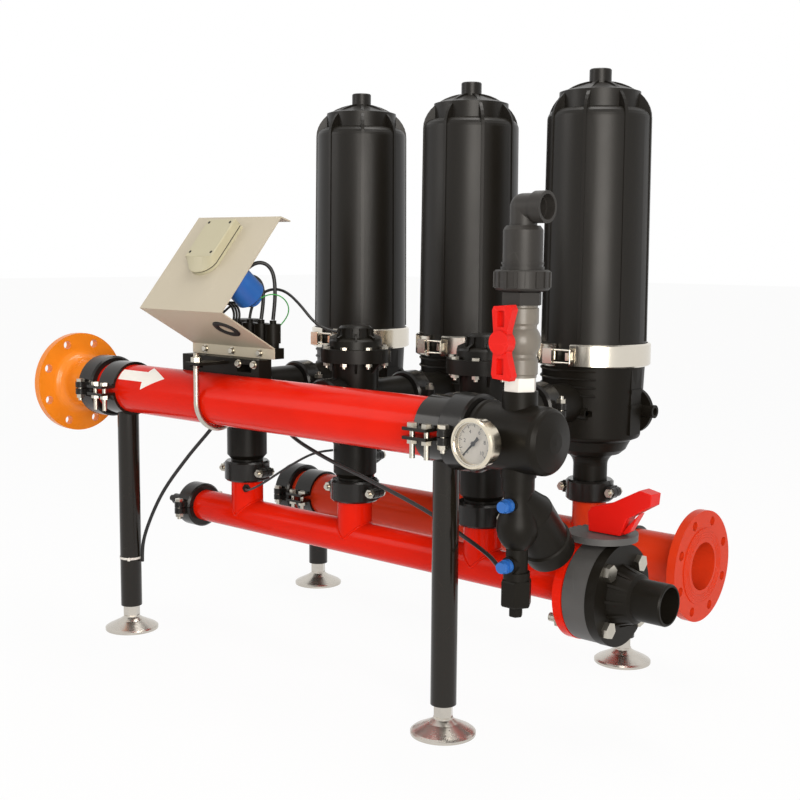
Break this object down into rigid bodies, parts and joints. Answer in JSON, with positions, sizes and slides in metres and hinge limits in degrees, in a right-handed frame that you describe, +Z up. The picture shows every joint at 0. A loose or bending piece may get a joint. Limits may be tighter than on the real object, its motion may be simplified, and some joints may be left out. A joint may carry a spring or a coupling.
{
  "type": "irrigation disc filter",
  "caption": "Disc filter station for irrigation: fluted canisters on red grooved-pipe manifolds, with backflush valves, legs, gauge, air vent and controller.",
  "frame": {"origin": "On the floor, at the middle of the station's bounding box", "axes": "+X along the manifolds from the inlet flange to the drain end, +Y from the inlet pipe back to the filters, +Z up"},
  "size_m": [1.481, 0.8075, 1.253],
  "materials": {
    "red_paint": "gloss",
    "orange_paint": "gloss",
    "black_paint": "gloss",
    "rubber": "matte",
    "zinc_steel": "satin",
    "black_plastic": "satin",
    "stainless": "brushed",
    "disc_plastic": "matte",
    "white_plastic": "satin",
    "grey_pvc": "satin",
    "red_plastic": "gloss",
    "gauge_brass": "polished",
    "lens": "clear",
    "pointer_black": "matte",
    "blue_plastic": "gloss",
    "cover_paint": "satin",
    "ivory_plastic": "satin",
    "tube_black": "satin"
  },
  "bodies": {
    "station": {"inlet_manifold": "red_paint", "inlet_flange": "orange_paint", "outlet_manifold": "red_paint", "outlet_end_cap": "black_paint", "drain_manifold": "red_paint", "drain_end_cap": "black_paint", "main_couplings": "black_paint", "branch_couplings": "black_paint", "rubber_seals": "rubber", "coupling_bolts": "zinc_steel", "valve_bodies": "black_plastic", "valve_drain_bodies": "black_plastic", "valve_bonnets": "black_plastic", "valve_flange_bolts": "zinc_steel", "filter_base_1": "black_plastic", "filter_base_2": "black_plastic", "filter_base_3": "black_plastic", "filter_shell_1": "black_plastic", "filter_shell_2": "black_plastic", "filter_shell_3": "black_plastic", "band_clamps": "stainless", "disc_stacks": "disc_plastic", "disc_spines": "black_plastic", "support_legs": "black_paint", "leg_clamp_caps": "black_paint", "leg_clamp_bolts": "zinc_steel", "end_chamber": "black_plastic", "air_nipple": "white_plastic", "ball_valve_body": "grey_pvc", "air_vent": "black_plastic", "gauge_case": "gauge_brass", "gauge_lens": "lens", "strainer_body": "black_plastic", "strainer_caps": "black_plastic", "push_in_plugs": "blue_plastic", "drain_valve_body": "grey_pvc", "drain_tail": "black_plastic", "drain_valve_bolts": "zinc_steel", "controller_cover": "cover_paint", "controller_box": "ivory_plastic", "controller_bracket": "black_plastic", "u_bolt": "zinc_steel", "pilot_solenoids": "black_plastic", "latching_coil": "blue_plastic", "control_tubes": "tube_black"},
    "plunger_1": {"valve_plunger_1": "black_plastic"},
    "plunger_2": {"valve_plunger_2": "black_plastic"},
    "plunger_3": {"valve_plunger_3": "black_plastic"},
    "latch_1": {"clamp_latch_1": "stainless"},
    "latch_2": {"clamp_latch_2": "stainless"},
    "latch_3": {"clamp_latch_3": "stainless"},
    "levelling_foot_1": {"foot_1": "stainless"},
    "levelling_foot_2": {"foot_2": "stainless"},
    "levelling_foot_3": {"foot_3": "stainless"},
    "levelling_foot_4": {"foot_4": "stainless"},
    "air_valve": {"ball_valve_ball": "white_plastic", "ball_valve_handle": "red_plastic"},
    "drain_valve": {"drain_valve_disc": "grey_pvc", "drain_valve_lever": "red_plastic"},
    "gauge_needle": {"gauge_pointer": "pointer_black"}
  },
  "joints": [
    {"name": "plunger_1_lift", "type": "slide", "parent": "station", "child": "plunger_1", "axis": [0, 0, 1], "range_m": [0, 0.014]},
    {"name": "plunger_2_lift", "type": "slide", "parent": "station", "child": "plunger_2", "axis": [0, 0, 1], "range_m": [0, 0.014]},
    {"name": "plunger_3_lift", "type": "slide", "parent": "station", "child": "plunger_3", "axis": [0, 0, 1], "range_m": [0, 0.014]},
    {"name": "latch_1_swing", "type": "hinge", "parent": "station", "child": "latch_1", "pos_m": [-0.3785, 0.14975, 0.661], "axis": [0, 0, -1], "range_deg": [0, 95]},
    {"name": "latch_2_swing", "type": "hinge", "parent": "station", "child": "latch_2", "pos_m": [-0.0365, 0.14975, 0.661], "axis": [0, 0, -1], "range_deg": [0, 95]},
    {"name": "latch_3_swing", "type": "hinge", "parent": "station", "child": "latch_3", "pos_m": [0.3055, 0.14975, 0.661], "axis": [0, 0, -1], "range_deg": [0, 95]},
    {"name": "foot_1_screw", "type": "slide", "parent": "station", "child": "levelling_foot_1", "axis": [0, 0, -1], "range_m": [0, 0.04]},
    {"name": "foot_2_screw", "type": "slide", "parent": "station", "child": "levelling_foot_2", "axis": [0, 0, -1], "range_m": [0, 0.04]},
    {"name": "foot_3_screw", "type": "slide", "parent": "station", "child": "levelling_foot_3", "axis": [0, 0, -1], "range_m": [0, 0.04]},
    {"name": "foot_4_screw", "type": "slide", "parent": "station", "child": "levelling_foot_4", "axis": [0, 0, -1], "range_m": [0, 0.04]},
    {"name": "air_valve_turn", "type": "hinge", "parent": "station", "child": "air_valve", "pos_m": [0.5525, -0.28925, 0.7255], "axis": [0, 1, 0], "range_deg": [0, 90]},
    {"name": "drain_valve_turn", "type": "hinge", "parent": "station", "child": "drain_valve", "pos_m": [0.6015, -0.09625, 0.266], "axis": [0, 0, 1], "range_deg": [0, 90]},
    {"name": "needle_turn", "type": "hinge", "parent": "station", "child": "gauge_needle", "pos_m": [0.5345, -0.38925, 0.561], "axis": [0, 1, 0], "range_deg": [0, 270], "stiffness_Nm_per_rad": 0.01}
  ]
}
